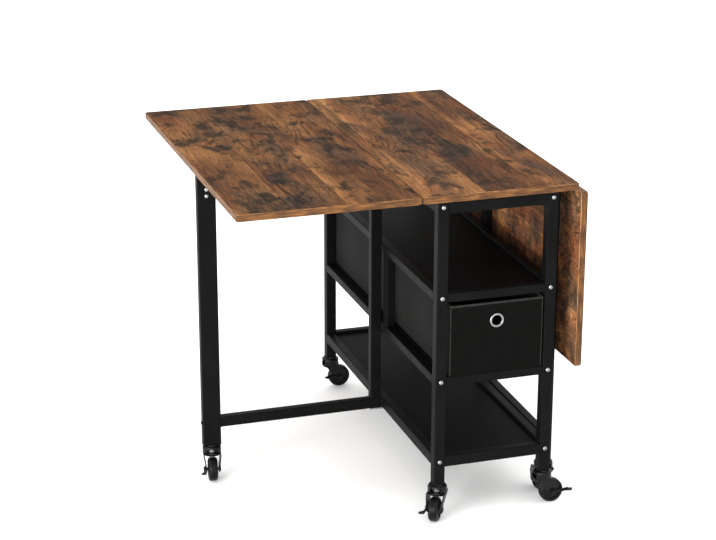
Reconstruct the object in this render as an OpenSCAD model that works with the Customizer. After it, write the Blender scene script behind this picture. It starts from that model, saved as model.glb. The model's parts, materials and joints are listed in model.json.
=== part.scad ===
// Folding dining table: a centre board on a wheeled steel frame, a drop leaf on each long side,
// a swinging gate leg under each leaf and two cloth drawers that pull out at the ends.
// It stands with the left leaf raised on its gate leg and the right leaf hanging.

/* [Top boards] */
// Height of the table top above the floor
table_h = 750; // [720:5:800]
// Length of the three boards, from the near end to the far end
top_depth = 855; // [830:5:950]
// Thickness of the boards
board_t = 16; // [14:1:20]
// Width of the fixed centre board
centre_w = 352; // [340:2:390]
// Width of each leaf
leaf_w = 399; // [385:1:415]
// Gap between the centre board and a raised leaf
leaf_gap = 2; // [2:0.5:4]
// Chamfer along the upper edges of the boards
edge_chamfer = 1.5; // [0.5:0.5:3]

/* [Frame] */
// Outer width of the frame
frame_w = 274; // [265:1:285]
// Overhang of the top boards past each end of the frame
end_overhang = 15; // [10:1:30]
// Side of the square posts
post_w = 25; // [22:1:28]
// Wall of the steel tubes
tube_wall = 1.5; // [1.2:0.1:2]
// Corner radius of the steel tubes
tube_r = 2.5; // [2:0.5:3]
// Depth of the rails, measured in from the outside of the frame
rail_t = 20; // [18:1:22]
// Height of the rails under the top boards
top_rail_h = 30; // [25:1:35]
// Height of the rails round the upper shelf and the drawer shelf
shelf_rail_h = 20; // [18:1:24]
// Height of the rails round the bottom shelf
bottom_rail_h = 25; // [20:1:30]
// Height of the upper shelf rails' top edge above the floor
upper_shelf_z = 526; // [515:1:540]
// Height of the drawer shelf rails' top edge above the floor
drawer_shelf_z = 334; // [325:1:345]
// Height of the bottom rails' lower edge above the floor
bottom_rail_z = 123; // [118:1:140]
// Thickness of the shelf boards
shelf_t = 6; // [4:1:8]
// Depth of the open shelves below their rails
shelf_lip = 8; // [4:1:10]
// Width of the two middle posts, along the depth of the table
middle_post_w = 25; // [20:1:28]
// Distance of each middle post from the middle of the depth
middle_post_y = 69; // [68:1:90]

/* [Gate legs] */
// Width of the outer leg of each gate
gate_leg_w = 42; // [38:1:46]
// Width of the inner leg of each gate
gate_post_w = 25; // [22:1:28]
// Thickness of the gates
gate_t = 20; // [18:1:22]
// Height of the upper rail of each gate
gate_rail_h = 30; // [25:1:34]
// Distance of each pivot from the middle of the depth
gate_y = 42; // [40:1:44]
// Least distance of the gate's outer edge inside the leaf's edge
gate_inset = 9.5; // [2:0.5:30]
// Least distance of the folded gate's outer edge inside the end of the frame
gate_end_gap = 39.5; // [36:0.5:60]
// Diameter of the pivot pins
pivot_d = 8; // [6:0.5:9]
// Thickness of the pivot brackets
bracket_t = 3; // [2:0.5:4]

/* [Leaf hinges] */
// Number of hinges along each leaf
hinge_count = 3; // [2:1:4]
// Length of each hinge
hinge_len = 60; // [40:5:70]
// Gap between the outer hinges and the folded gate's outer leg
hinge_leg_gap = 11; // [5:1:20]
// Gap between the fixed hinge plates and the frame's rails
hinge_rail_gap = 5.8; // [4:0.1:13]
// Thickness of the hinge plates
hinge_plate_t = 2; // [1.5:0.5:2]
// Depth of the hinge pin below the boards
pin_drop = 4; // [3:0.5:4.5]
// Diameter of the hinge pins
hinge_pin_d = 3; // [2.5:0.1:3.2]

/* [Drawers] */
// Average gap between a drawer and the posts beside it
drawer_gap = 5; // [3:0.5:12]
// Distance of each drawer from the middle of its bay, to its right as seen from its own end
drawer_shift = 2; // [0:0.5:2]
// Height of the cloth drawers
drawer_h = 161; // [140:1:166]
// Gap between the backs of the two drawers
drawer_back_gap = 25; // [10:1:60]
// Thickness of the stiffened cloth
cloth_t = 3; // [2.5:0.5:4]
// Thickness of the board in each drawer's base
base_t = 3; // [2:1:5]
// Distance of each drawer front inside the end of the frame
drawer_inset = 2; // [0:1:6]
// Height of the eyelet's centre above the drawer's base
eyelet_z = 119; // [100:1:130]
// Clear diameter of the eyelet
eyelet_d = 23; // [18:1:24]
// Outer diameter of the eyelet's flange
eyelet_flange_d = 32; // [31:1:36]

/* [Castors] */
// Height of a castor, from the floor to the foot of its post
castor_h = 80.5; // [80.5:0.5:90]
// Diameter of the castor wheels
wheel_d = 55; // [50:1:56]
// Width of the castor wheels
wheel_w = 22; // [18:1:23]
// Distance from the swivel axis to the wheel's axle
castor_trail = 22; // [18:1:24]
// Diameter of the axles
axle_d = 8; // [6:0.5:9]
// Outer diameter of the castor's crown
crown_d = 43; // [40:1:44]
// Diameter of the kingpins and of the threads above them
kingpin_d = 10; // [8:0.5:11]
// Length of the brake lever, from the axle to its tip
lever_len = 44; // [40:1:46]

/* [Fasteners] */
// Diameter of the frame bolts
bolt_d = 6; // [5:0.5:6]
// Diameter of the bolts' round heads
bolt_head_d = 10; // [9:0.5:12]
// Diameter of the screws that hold the centre board
screw_d = 4; // [3.5:0.5:5]

/* [Clearances] */
// Radial clearance of every turning fit
fit_gap = 0.05; // [0.03:0.01:0.1]
// Gap between a piece and the seat that it slides or stands on
seat_gap = 0.3; // [0.2:0.1:0.5]

/* [Hidden] */
$fn = 48;
frame_d = top_depth - 2 * end_overhang;
frame_x = frame_w / 2;
frame_y = frame_d / 2;
board_under = table_h - board_t;
post_x = frame_x - post_w / 2;
post_y = frame_y - post_w / 2;
rail_x = frame_x - rail_t / 2;
side_rail_len = frame_d - 2 * post_w;
end_rail_len = frame_w - 2 * post_w;
plug_len = 22;
rail_levels = [
    [board_under - top_rail_h, top_rail_h],
    [upper_shelf_z - shelf_rail_h, shelf_rail_h],
    [drawer_shelf_z - shelf_rail_h, shelf_rail_h],
    [bottom_rail_z, bottom_rail_h]
];
// Leaves turn on pins that lie just under the joint between the boards
pin_x = centre_w / 2 + leaf_gap / 2;
pin_z = board_under - pin_drop;
leaf_in = centre_w / 2 + leaf_gap;
leaf_out = leaf_in + leaf_w;
hang_out = pin_x + pin_drop + board_t;
knuckle_r = pin_drop - 0.2;
hinge_plate_in = knuckle_r + 0.4;
hinge_plate_w = pin_x - hinge_plate_in - frame_w / 2 - hinge_rail_gap;
knuckle_count = 5;
knuckle_gap = 0.3;
knuckle_len = hinge_len / knuckle_count;
// Each pivot stands off the frame by the swing of the inner leg's corner
swing_r = norm([gate_post_w / 2 - tube_r, gate_t / 2 - tube_r]) + tube_r;
swing_gap = 0.5;
pivot_x = frame_x + swing_r + swing_gap;
// The gate reaches as far as both the raised leaf and the end of the frame beside it allow
gate_reach = min(leaf_out - gate_inset - pivot_x, frame_y + gate_y - gate_end_gap);
gate_leg_x = gate_reach - gate_leg_w / 2;
gate_top = board_under - top_rail_h - bracket_t;
gate_bottom = bottom_rail_z + seat_gap;
gate_rail_z = gate_top - seat_gap - gate_rail_h;
fold_lean = asin((swing_r + swing_gap - gate_t / 2 - swing_gap) / gate_reach);
fold_angle = 90 + fold_lean;
tongue_len = gate_leg_w - tube_wall - 4;
tongue_t = gate_t - 2 * tube_wall - 1;
tongue_gap = 0.5;
hinge_y = gate_reach - gate_y - gate_leg_w - hinge_leg_gap - hinge_len / 2;
drawer_w = frame_w - 2 * post_w - 2 * drawer_gap;
drawer_d = frame_y - drawer_inset - drawer_back_gap / 2;
gate_bolt_step = 7.5;
bolt_head_h = 3;
screw_head_d = 2 * screw_d;
screw_depth = 10;
lug_w = 30;
lug_t = 2;
lug_depth = 14;
lug_y = 0.61 * frame_y;
// Castor heights are measured from the floor
axle_z = wheel_d / 2;
wheel_gap = 2.7;
fork_in = wheel_w / 2 + wheel_gap;
leg_t = 2.5;
crown_h = 0.56 * crown_d;
crown_t = 0.12 * crown_d;
floor_z = castor_h - crown_h;
crown_z = castor_h - 2 * seat_gap;
race_r = 0.33 * crown_d;
race_gap = 0.8;
brake_gap = 0.4;
brake_t = 2;
lever_w = 0.16 * lever_len;
lever_rise = 8;
// Position, heading and lever angle of each castor, the last two in degrees from the right
near_left_spot = [-post_x, -post_y, -123, lever_rise];
near_right_spot = [post_x, -post_y, 0, lever_rise];
far_left_spot = [-post_x, post_y, 0, 180 - lever_rise];
far_right_spot = [post_x, post_y, 57, lever_rise];
gate_castor_heading = -100;
right_gate_castor_heading = 0;
// The tread plate on each lever, along the lever and away from the wheel
tread = [for (p = [[0.5, 0], [0.93, -0.02], [1, -0.11], [0.95, -0.25], [0.82, -0.27], [0.5, -0.05]])
    lever_len * p];
tread_t = 2.4;
lever_y = fork_in + leg_t + brake_gap;
// The origin is under the middle of the table as it stands, from the left gate's lever to the right leaf
lever_out = max([for (p = tread)
    (p[1] - lever_y) * sin(gate_castor_heading)
    - (castor_trail + p[0] * cos(lever_rise) + tread_t / 2 * sin(lever_rise)) * cos(gate_castor_heading)]);
left_out = max(leaf_out, pivot_x + gate_leg_x + lever_out);
shift_x = (left_out - hang_out) / 2;

// Colours

module steel() color("#26272a") children();
module wood() color("#8a5f3f") children();
module zinc() color("#c9cbce") children();
module cloth() color("#3a3b3e") children();
module tyre() color("#2e2f31") children();

// Basic shapes

module rounded_bar(a, b, len, r) {
    // A bar along Z with the section a by b, centred on the axis
    for (s = [-1, 1]) translate([s * (a / 2 - r), 0, len / 2]) cube([2 * r, b - 2 * r, len], center = true);
    translate([0, 0, len / 2]) cube([a - 2 * r, b, len], center = true);
    for (x = [-1, 1], y = [-1, 1])
        translate([x * (a / 2 - r), y * (b / 2 - r), 0]) cylinder(r = r, h = len, $fn = 32);
}

module tube(a, b, len, plug_low = 0, plug_high = 0) {
    // A hollow bar along Z, closed by plugs of the given lengths at its ends
    difference() {
        rounded_bar(a, b, len, tube_r);
        translate([-a / 2 + tube_wall, -b / 2 + tube_wall, plug_low])
            cube([a - 2 * tube_wall, b - 2 * tube_wall, len - plug_low - plug_high]);
    }
}

module board(w, d, t) {
    // A board centred on the axis with its underside at zero and its upper edges chamfered
    c = edge_chamfer;
    intersection() {
        rotate([90, 0, 0]) linear_extrude(d, center = true)
            polygon([[-w / 2, 0], [w / 2, 0], [w / 2, t - c], [w / 2 - c, t], [c - w / 2, t], [-w / 2, t - c]]);
        rotate([90, 0, 90]) linear_extrude(w, center = true)
            polygon([[-d / 2, 0], [d / 2, 0], [d / 2, t - c], [d / 2 - c, t], [c - d / 2, t], [-d / 2, t - c]]);
    }
}

// Places: everything is drawn about the middle of the frame and then shifted

module at_frame() translate([shift_x, 0, 0]) children();
module turned(side) rotate([0, 0, side == "right" || side == "far" ? 180 : 0]) children();

module at_leaf_pin(side) {
    // Local axes of a raised leaf at its pin: the leaf runs towards minus X
    at_frame() turned(side) translate([-pin_x, 0, pin_z])
        rotate([0, side == "right" ? -90 : 0, 0]) children();
}

module at_gate(side) {
    // Local axes of a gate at its pivot: the gate runs towards minus X
    at_frame() turned(side) translate([-pivot_x, -gate_y, 0])
        rotate([0, 0, side == "right" ? -fold_angle : 0]) children();
}

module at_post_castor(spot) {
    at_frame() translate([spot[0], spot[1], 0]) rotate([0, 0, spot[2]]) children();
}

module at_gate_castor(side) {
    at_gate(side) translate([-gate_leg_x, 0, 0])
        rotate([0, 0, side == "right" ? right_gate_castor_heading : gate_castor_heading]) children();
}

// Frame

module bolt_hole(d, len) rotate([-90, 0, 0]) cylinder(d = d, h = len);

module end_frame(side) {
    steel() at_frame() turned(side) difference() {
        union() {
            for (x = [-1, 1]) translate([x * post_x, -post_y, castor_h])
                tube(post_w, post_w, board_under - castor_h, plug_low = plug_len);
            for (level = rail_levels)
                translate([-end_rail_len / 2, -frame_y + rail_t / 2, level[0] + level[1] / 2])
                rotate([0, 90, 0]) rotate([0, 0, 90]) tube(rail_t, level[1], end_rail_len);
        }
        for (x = [-1, 1]) {
            for (level = rail_levels) translate([x * post_x, -frame_y - 1, level[0] + level[1] / 2])
                bolt_hole(bolt_d + 2 * fit_gap, post_w + 2);
            translate([x * post_x, -post_y, castor_h - 1])
                cylinder(d = kingpin_d + 2 * fit_gap, h = plug_len + 2);
        }
    }
}

module side_rail(side, level, lugs) {
    z = level[0];
    h = level[1];
    steel() at_frame() turned(side) difference() {
        union() {
            translate([-rail_x, -side_rail_len / 2, z + h / 2]) rotate([-90, 0, 0])
                tube(rail_t, h, side_rail_len, plug_len, plug_len);
            if (lugs > 0) for (y = [-1, 1])
                translate([-frame_x + rail_t - 0.01, y * lug_y - lug_w / 2, z + h - lugs - lug_t])
                    cube([lug_depth, lug_w, lug_t]);
        }
        for (y = [-1, 1]) translate([-post_x, y * (side_rail_len / 2 - plug_len / 2) - plug_len, z + h / 2])
            bolt_hole(bolt_d + 2 * fit_gap, 2 * plug_len);
        if (z > upper_shelf_z) for (y = screw_ys) translate([-rail_x, y, z - 1])
            cylinder(d = screw_d + 2 * fit_gap, h = h + 2);
    }
}

module middle_post(side) {
    low = drawer_shelf_z;
    high = upper_shelf_z - shelf_rail_h;
    steel() at_frame() turned(side) translate([-rail_x, -middle_post_y, low])
        tube(rail_t, middle_post_w, high - low);
}

module shelf(top_z, lip) {
    // A board between the side rails, notched round the four posts
    gap = seat_gap;
    w = frame_w - 2 * rail_t - 2 * gap;
    d = frame_d - 2 * rail_t - 2 * gap;
    steel() at_frame() translate([0, 0, top_z - lip - shelf_t]) difference() {
        translate([-w / 2, -d / 2, 0]) cube([w, d, shelf_t]);
        for (x = [-1, 1], y = [-1, 1]) translate([x * post_x, y * post_y, shelf_t / 2])
            cube([post_w + 2 * gap, post_w + 2 * gap, shelf_t + 2], center = true);
    }
}

module bolt(len) {
    // A round head on the plane Y = 0, the shank running towards plus Y
    rotate([-90, 0, 0]) cylinder(d = bolt_d, h = len);
    rotate([90, 0, 0]) rotate_extrude() polygon(concat([[0, 0]],
        [for (a = [0:15:90]) [bolt_head_d / 2 * cos(a), bolt_head_h * sin(a)]]));
}

module frame_bolts() {
    zinc() at_frame() for (side = ["near", "far"]) turned(side)
        for (x = [-1, 1], level = rail_levels)
            translate([x * post_x, -frame_y, level[0] + level[1] / 2]) bolt(post_w + plug_len - 4);
}

screw_ys = [-0.63 * frame_y, 0, 0.63 * frame_y];

module board_screws() {
    zinc() at_frame() for (side = ["left", "right"]) turned(side) for (y = screw_ys)
        translate([-rail_x, y, board_under - top_rail_h]) {
            cylinder(d = screw_d, h = top_rail_h + screw_depth - 1);
            translate([0, 0, -2]) cylinder(d = screw_head_d, h = 2);
        }
}

module centre_board() {
    wood() at_frame() translate([0, 0, board_under]) difference() {
        board(centre_w, top_depth, board_t);
        for (side = ["left", "right"]) turned(side) for (y = screw_ys)
            translate([-rail_x, y, -1]) cylinder(d = screw_d + 2 * fit_gap, h = screw_depth + 1);
    }
}

// Leaves and their hinges

function hinge_ys() = [for (i = [0:hinge_count - 1]) hinge_y * (2 * i / (hinge_count - 1) - 1)];

module knuckles(fixed) {
    // The knuckles of one hinge: the fixed plate has the outer ones and the middle one
    first = fixed ? 0 : 1;
    difference() {
        for (i = [first:2:knuckle_count - 1])
            translate([0, -hinge_len / 2 + i * knuckle_len + knuckle_gap / 2, 0])
                rotate([-90, 0, 0]) cylinder(r = knuckle_r, h = knuckle_len - knuckle_gap);
        translate([0, -hinge_len / 2 - 1, 0]) rotate([-90, 0, 0])
            cylinder(d = hinge_pin_d + 2 * fit_gap, h = hinge_len + 2);
    }
}

module hinge_plate(fixed) {
    // One hinge plate under its board, with its tabs reaching to the knuckles
    inner = hinge_plate_in;
    dir = fixed ? 1 : -1;
    first = fixed ? 0 : 1;
    top = pin_drop;
    translate([fixed ? inner : -inner - hinge_plate_w, -hinge_len / 2, top - hinge_plate_t])
        cube([hinge_plate_w, hinge_len, hinge_plate_t]);
    difference() {
        for (i = [first:2:knuckle_count - 1])
            translate([dir > 0 ? 0 : -inner - 1, -hinge_len / 2 + i * knuckle_len + knuckle_gap / 2,
                top - hinge_plate_t])
                cube([inner + 1, knuckle_len - knuckle_gap, hinge_plate_t - 0.2]);
        translate([0, -hinge_len / 2 - 1, 0]) rotate([-90, 0, 0])
            cylinder(d = hinge_pin_d + 2 * fit_gap, h = hinge_len + 2);
    }
    knuckles(fixed);
}

module fixed_hinge_plates() {
    zinc() at_frame() for (side = ["left", "right"]) turned(side) for (y = hinge_ys())
        translate([-pin_x, y, pin_z]) hinge_plate(true);
}

module leaf_hinge_plates(side) {
    zinc() at_leaf_pin(side) for (y = hinge_ys()) translate([0, y, 0]) hinge_plate(false);
}

module hinge_pins() {
    zinc() at_frame() for (side = ["left", "right"]) turned(side) for (y = hinge_ys())
        translate([-pin_x, y - hinge_len / 2, pin_z]) rotate([-90, 0, 0])
            cylinder(d = hinge_pin_d, h = hinge_len);
}

module leaf(side) {
    wood() at_leaf_pin(side)
        translate([-leaf_gap / 2 - leaf_w / 2, 0, pin_drop]) board(leaf_w, top_depth, board_t);
}

// Gate legs

module gate_pivot_brackets() {
    plate_x = frame_x - rail_t;
    for (side = ["left", "right"]) zinc() at_frame() turned(side)
        for (low = [true, false]) {
            z = low ? bottom_rail_z - bracket_t : gate_top;
            translate([-pivot_x - gate_post_w / 2, -gate_y - gate_t / 2, z])
                cube([pivot_x + gate_post_w / 2 - plate_x, gate_t, bracket_t]);
            translate([-pivot_x, -gate_y, low ? z : z - plug_len + 2])
                cylinder(d = pivot_d, h = plug_len + bracket_t - 2);
        }
}

module gate_frame(side) {
    inner_len = gate_leg_x - gate_leg_w / 2 - gate_post_w / 2;
    top = gate_top - seat_gap;
    steel() at_gate(side) difference() {
        union() {
            translate([0, 0, gate_bottom])
                tube(gate_post_w, gate_t, top - gate_bottom, plug_len, plug_len);
            for (rail = [[gate_rail_z, gate_rail_h], [gate_bottom, bottom_rail_h]]) {
                translate([-gate_post_w / 2 + 0.5, 0, rail[0] + rail[1] / 2]) rotate([0, -90, 0])
                    tube(rail[1], gate_t, inner_len + 0.5, 0, 6);
                translate([-gate_post_w / 2 - inner_len - tongue_len, -tongue_t / 2, rail[0] + 4])
                    cube([tongue_len + 4, tongue_t, rail[1] - 8]);
            }
        }
        for (z = [gate_bottom - 1, top - plug_len]) translate([0, 0, z])
            cylinder(d = pivot_d + 2 * fit_gap, h = plug_len + 1);
        gate_bolt_holes();
    }
}

module at_gate_bolts() {
    // Two bolts hold the upper rail through the leg's near face and one the lower rail from its edge
    for (s = [-1, 1])
        translate([-gate_leg_x, -gate_t / 2, gate_rail_z + gate_rail_h / 2 + s * gate_bolt_step]) children();
    translate([-gate_reach, 0, gate_bottom + bottom_rail_h / 2]) rotate([0, 0, -90]) children();
}

module gate_bolt_holes() {
    at_gate_bolts() translate([0, -1, 0]) bolt_hole(bolt_d + 2 * fit_gap, gate_t + 8);
}

module gate_leg(side) {
    steel() at_gate(side) translate([-gate_leg_x, 0, 0]) difference() {
        translate([0, 0, castor_h])
            tube(gate_leg_w, gate_t, board_under - seat_gap - castor_h, plug_len, tube_wall);
        for (rail = [[gate_rail_z, gate_rail_h], [gate_bottom, bottom_rail_h]])
            translate([0, -tongue_t / 2 - tongue_gap, rail[0] + 4 - tongue_gap])
                cube([gate_leg_w, tongue_t + 2 * tongue_gap, rail[1] - 8 + 2 * tongue_gap]);
        translate([gate_leg_x, 0, 0]) gate_bolt_holes();
        translate([0, 0, castor_h - 1]) cylinder(d = kingpin_d + 2 * fit_gap, h = plug_len + 2);
    }
}

module gate_bolts(side) {
    zinc() at_gate(side) at_gate_bolts() bolt(gate_t - 3);
}

// Cloth drawers

module at_drawer(side) {
    at_frame() turned(side)
        translate([drawer_shift, -frame_y + drawer_inset, drawer_shelf_z + seat_gap]) children();
}

module drawer(side) {
    cloth() at_drawer(side) difference() {
        translate([-drawer_w / 2, 0, 0]) cube([drawer_w, drawer_d, drawer_h]);
        translate([-drawer_w / 2 + cloth_t, cloth_t, cloth_t])
            cube([drawer_w - 2 * cloth_t, drawer_d - 2 * cloth_t, drawer_h]);
        translate([0, -1, eyelet_z]) bolt_hole(eyelet_d + 3, cloth_t + 2);
    }
}

module drawer_base(side) {
    gap = 1;
    w = drawer_w - 2 * cloth_t - 2 * gap;
    d = drawer_d - 2 * cloth_t - 2 * gap;
    steel() at_drawer(side) translate([-w / 2, cloth_t + gap, cloth_t]) cube([w, d, base_t]);
}

module drawer_eyelet(side) {
    // A rolled metal ring that clips round the edge of the pull hole
    lip = 1.6;
    r_in = eyelet_d / 2;
    r_out = eyelet_flange_d / 2;
    zinc() at_drawer(side) translate([0, 0, eyelet_z]) rotate([90, 0, 0]) rotate_extrude() polygon(concat(
        [[r_in, -cloth_t - lip], [r_out - 1, -cloth_t - lip], [r_out - 1, -cloth_t], [r_in + 1.3, -cloth_t],
            [r_in + 1.3, 0], [r_out, 0]],
        [for (a = [15:15:165]) [(r_out + r_in) / 2 + (r_out - r_in) / 2 * cos(a), lip * sin(a)]],
        [[r_in, 0]]));
}

// Castors: the swivel axis is the Z axis and the wheel trails towards plus X

module castor_stem() {
    // The thread in the post's foot, a plate under it, two race rings and the kingpin with its head
    top = castor_h;
    zinc() {
        translate([0, 0, top]) cylinder(d = kingpin_d, h = plug_len - 1);
        translate([0, 0, top - crown_t]) cylinder(r = race_r - race_gap, h = crown_t);
        translate([0, 0, floor_z + crown_t]) cylinder(r = 0.64 * race_r, h = crown_h - crown_t - 1);
        for (t = [0.36, 0.6]) translate([0, 0, floor_z + t * crown_h])
            cylinder(r = race_r - race_gap, h = 0.13 * crown_h);
        translate([0, 0, floor_z - 3]) cylinder(d = kingpin_d, h = crown_t + 5);
        translate([0, 0, floor_z - 3.3]) cylinder(d = 1.6 * kingpin_d, h = 3);
    }
}

module post_castor_stems() {
    for (spot = [near_left_spot, near_right_spot, far_left_spot, far_right_spot])
        at_post_castor(spot) castor_stem();
}

module castor_fork() {
    bend_z = axle_z + 0.22 * axle_z;
    shoulder = crown_d / 2;
    rim_r = shoulder - race_r - 1;
    side_h = crown_z - floor_z;
    window_z = crown_t + 0.08 * crown_h;
    window_h = 0.46 * crown_h;
    leg_top = floor_z + crown_t + 0.5;
    steel() {
        // Crown: a cup round the race rings, with a window to the front and one to the rear
        difference() {
            translate([0, 0, floor_z]) rotate_extrude() polygon(concat(
                [[0, 0], [shoulder - 2, 0], [shoulder, 3]],
                [for (a = [0:15:90]) [shoulder - rim_r + rim_r * cos(a), side_h - rim_r + rim_r * sin(a)]],
                [[race_r, side_h], [race_r, crown_t], [0, crown_t]]));
            translate([0, 0, floor_z - 1]) cylinder(d = kingpin_d + 2 * fit_gap, h = crown_t + 2);
            translate([0, 0, floor_z + window_z + window_h / 2])
                cube([crown_d + 2, 0.56 * crown_d, window_h], center = true);
        }
        // Legs: bent strips that close in from the crown to the wheel
        intersection() {
            rotate([90, 0, 0]) linear_extrude(crown_d + 4, center = true) {
                polygon([
                    [-0.4 * crown_d, leg_top], [0.48 * crown_d, leg_top], [1.6 * castor_trail, 1.5 * axle_z],
                    [1.65 * castor_trail, 1.1 * axle_z], [0.68 * castor_trail, 0.72 * axle_z]
                ]);
                translate([castor_trail, axle_z]) circle(d = axle_d + 10);
            }
            for (m = [0, 1]) mirror([0, m, 0])
                rotate([90, 0, 90]) linear_extrude(4 * crown_d, center = true) polygon([
                    [fork_in, 0], [fork_in + leg_t, 0], [fork_in + leg_t, bend_z],
                    [shoulder - 1, floor_z + 1], [shoulder - 1, leg_top],
                    [shoulder - 1 - leg_t, leg_top], [shoulder - 1 - leg_t, floor_z + 1], [fork_in, bend_z]
                ]);
        }
    }
    far = fork_in + leg_t;
    zinc() translate([castor_trail, 0, axle_z]) rotate([90, 0, 0]) {
        translate([0, 0, -far - 0.01]) cylinder(d = axle_d, h = 2 * far + brake_gap + brake_t + 0.5);
        translate([0, 0, -far - 2.5]) cylinder(d = axle_d + 4, h = 2.5);
        translate([0, 0, far + brake_gap + brake_t + 0.3]) cylinder(d = axle_d + 4, h = 2.2);
    }
}

module castor_wheel() {
    r = wheel_d / 2;
    h = wheel_w / 2;
    edge = 0.25 * r;
    tyre() translate([castor_trail, 0, axle_z]) rotate([90, 0, 0]) difference() {
        rotate_extrude() polygon(concat(
            [[0, -h]],
            [for (a = [-90:15:-15]) [r - edge + edge * cos(a), -h + edge + edge * sin(a)]],
            [[r, -h + edge], [r, h - edge]],
            [for (a = [15:15:90]) [r - edge + edge * cos(a), h - edge + edge * sin(a)]],
            [[0, h]]), $fn = 64);
        for (m = [0, 1]) mirror([0, 0, m]) translate([0, 0, h - 2.5]) difference() {
            cylinder(r = r - edge, h = 5);
            translate([0, 0, -1]) cylinder(d = axle_d + 8, h = 7);
        }
        cylinder(d = axle_d + 2 * fit_gap, h = wheel_w + 2, center = true);
    }
}

module castor_brake(lever_angle) {
    // A lever on the axle, outside the fork, with a tread plate that flares away from the wheel
    flip = lever_angle > 90 ? 1 : 0;
    steel() translate([castor_trail, -lever_y, axle_z]) rotate([0, flip ? 180 - lever_angle : -lever_angle, 0])
        mirror([flip, 0, 0]) difference() {
            union() {
                rotate([90, 0, 0]) cylinder(d = axle_d + 7, h = brake_t);
                translate([0, -brake_t, -lever_w / 2]) cube([0.82 * lever_len, brake_t, lever_w]);
                translate([0, 0, -tread_t / 2]) linear_extrude(tread_t) polygon(tread);
            }
            translate([0, 1, 0]) rotate([90, 0, 0]) cylinder(d = axle_d + 2 * fit_gap, h = brake_t + 2);
        }
}

end_frame("near");  // near_end_frame
end_frame("far");  // far_end_frame
side_rail("left", rail_levels[0], 0);  // left_top_rail
side_rail("right", rail_levels[0], 0);  // right_top_rail
side_rail("left", rail_levels[1], shelf_lip + shelf_t);  // left_upper_rail
side_rail("right", rail_levels[1], shelf_lip + shelf_t);  // right_upper_rail
side_rail("left", rail_levels[2], shelf_t);  // left_lower_rail
side_rail("right", rail_levels[2], shelf_t);  // right_lower_rail
side_rail("left", rail_levels[3], shelf_lip + shelf_t);  // left_bottom_rail
side_rail("right", rail_levels[3], shelf_lip + shelf_t);  // right_bottom_rail
middle_post("left");  // left_middle_post
middle_post("right");  // right_middle_post
shelf(upper_shelf_z, shelf_lip);  // upper_shelf
shelf(drawer_shelf_z, 0);  // drawer_shelf
shelf(bottom_rail_z + bottom_rail_h, shelf_lip);  // bottom_shelf
frame_bolts();
board_screws();
centre_board();
fixed_hinge_plates();
hinge_pins();
gate_pivot_brackets();
post_castor_stems();
leaf("left");  // left_leaf
leaf_hinge_plates("left");  // left_leaf_hinge_plates
leaf("right");  // right_leaf
leaf_hinge_plates("right");  // right_leaf_hinge_plates
gate_frame("left");  // left_gate_frame
gate_leg("left");  // left_gate_leg
gate_bolts("left");  // left_gate_bolts
at_gate_castor("left") castor_stem();  // left_gate_castor_stem
gate_frame("right");  // right_gate_frame
gate_leg("right");  // right_gate_leg
gate_bolts("right");  // right_gate_bolts
at_gate_castor("right") castor_stem();  // right_gate_castor_stem
drawer("near");  // near_drawer
drawer_base("near");  // near_drawer_base
drawer_eyelet("near");  // near_drawer_eyelet
drawer("far");  // far_drawer
drawer_base("far");  // far_drawer_base
drawer_eyelet("far");  // far_drawer_eyelet
at_post_castor(near_left_spot) castor_fork();  // near_left_castor_fork
at_post_castor(near_left_spot) castor_wheel();  // near_left_castor_wheel
at_post_castor(near_left_spot) castor_brake(near_left_spot[3]);  // near_left_castor_brake
at_post_castor(near_right_spot) castor_fork();  // near_right_castor_fork
at_post_castor(near_right_spot) castor_wheel();  // near_right_castor_wheel
at_post_castor(near_right_spot) castor_brake(near_right_spot[3]);  // near_right_castor_brake
at_post_castor(far_left_spot) castor_fork();  // far_left_castor_fork
at_post_castor(far_left_spot) castor_wheel();  // far_left_castor_wheel
at_post_castor(far_left_spot) castor_brake(far_left_spot[3]);  // far_left_castor_brake
at_post_castor(far_right_spot) castor_fork();  // far_right_castor_fork
at_post_castor(far_right_spot) castor_wheel();  // far_right_castor_wheel
at_post_castor(far_right_spot) castor_brake(far_right_spot[3]);  // far_right_castor_brake
at_gate_castor("left") castor_fork();  // left_gate_castor_fork
at_gate_castor("left") castor_wheel();  // left_gate_castor_wheel
at_gate_castor("left") castor_brake(lever_rise);  // left_gate_castor_brake
at_gate_castor("right") castor_fork();  // right_gate_castor_fork
at_gate_castor("right") castor_wheel();  // right_gate_castor_wheel
at_gate_castor("right") castor_brake(lever_rise);  // right_gate_castor_brake
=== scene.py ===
# Folding dining table with rustic laminate boards, a black steel frame, cloth drawers and castors
import json
import math

import bmesh
import bpy
from mathutils import Matrix, Vector


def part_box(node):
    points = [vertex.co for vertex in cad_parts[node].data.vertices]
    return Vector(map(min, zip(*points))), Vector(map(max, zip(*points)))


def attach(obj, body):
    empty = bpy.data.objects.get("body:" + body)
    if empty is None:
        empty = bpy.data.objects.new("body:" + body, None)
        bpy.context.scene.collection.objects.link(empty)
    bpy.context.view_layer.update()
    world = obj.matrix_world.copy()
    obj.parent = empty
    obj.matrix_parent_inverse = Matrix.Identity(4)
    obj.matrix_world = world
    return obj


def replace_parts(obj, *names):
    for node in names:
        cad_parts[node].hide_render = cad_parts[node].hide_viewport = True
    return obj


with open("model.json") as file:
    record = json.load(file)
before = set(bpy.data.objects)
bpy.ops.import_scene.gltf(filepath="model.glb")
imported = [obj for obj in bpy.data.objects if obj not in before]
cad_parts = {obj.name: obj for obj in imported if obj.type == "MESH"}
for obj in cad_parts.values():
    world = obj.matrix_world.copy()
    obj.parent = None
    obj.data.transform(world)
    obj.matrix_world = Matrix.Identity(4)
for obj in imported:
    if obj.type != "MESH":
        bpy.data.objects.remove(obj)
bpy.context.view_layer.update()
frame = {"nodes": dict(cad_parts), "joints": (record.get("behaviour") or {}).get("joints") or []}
nodes = frame["nodes"]
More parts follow.
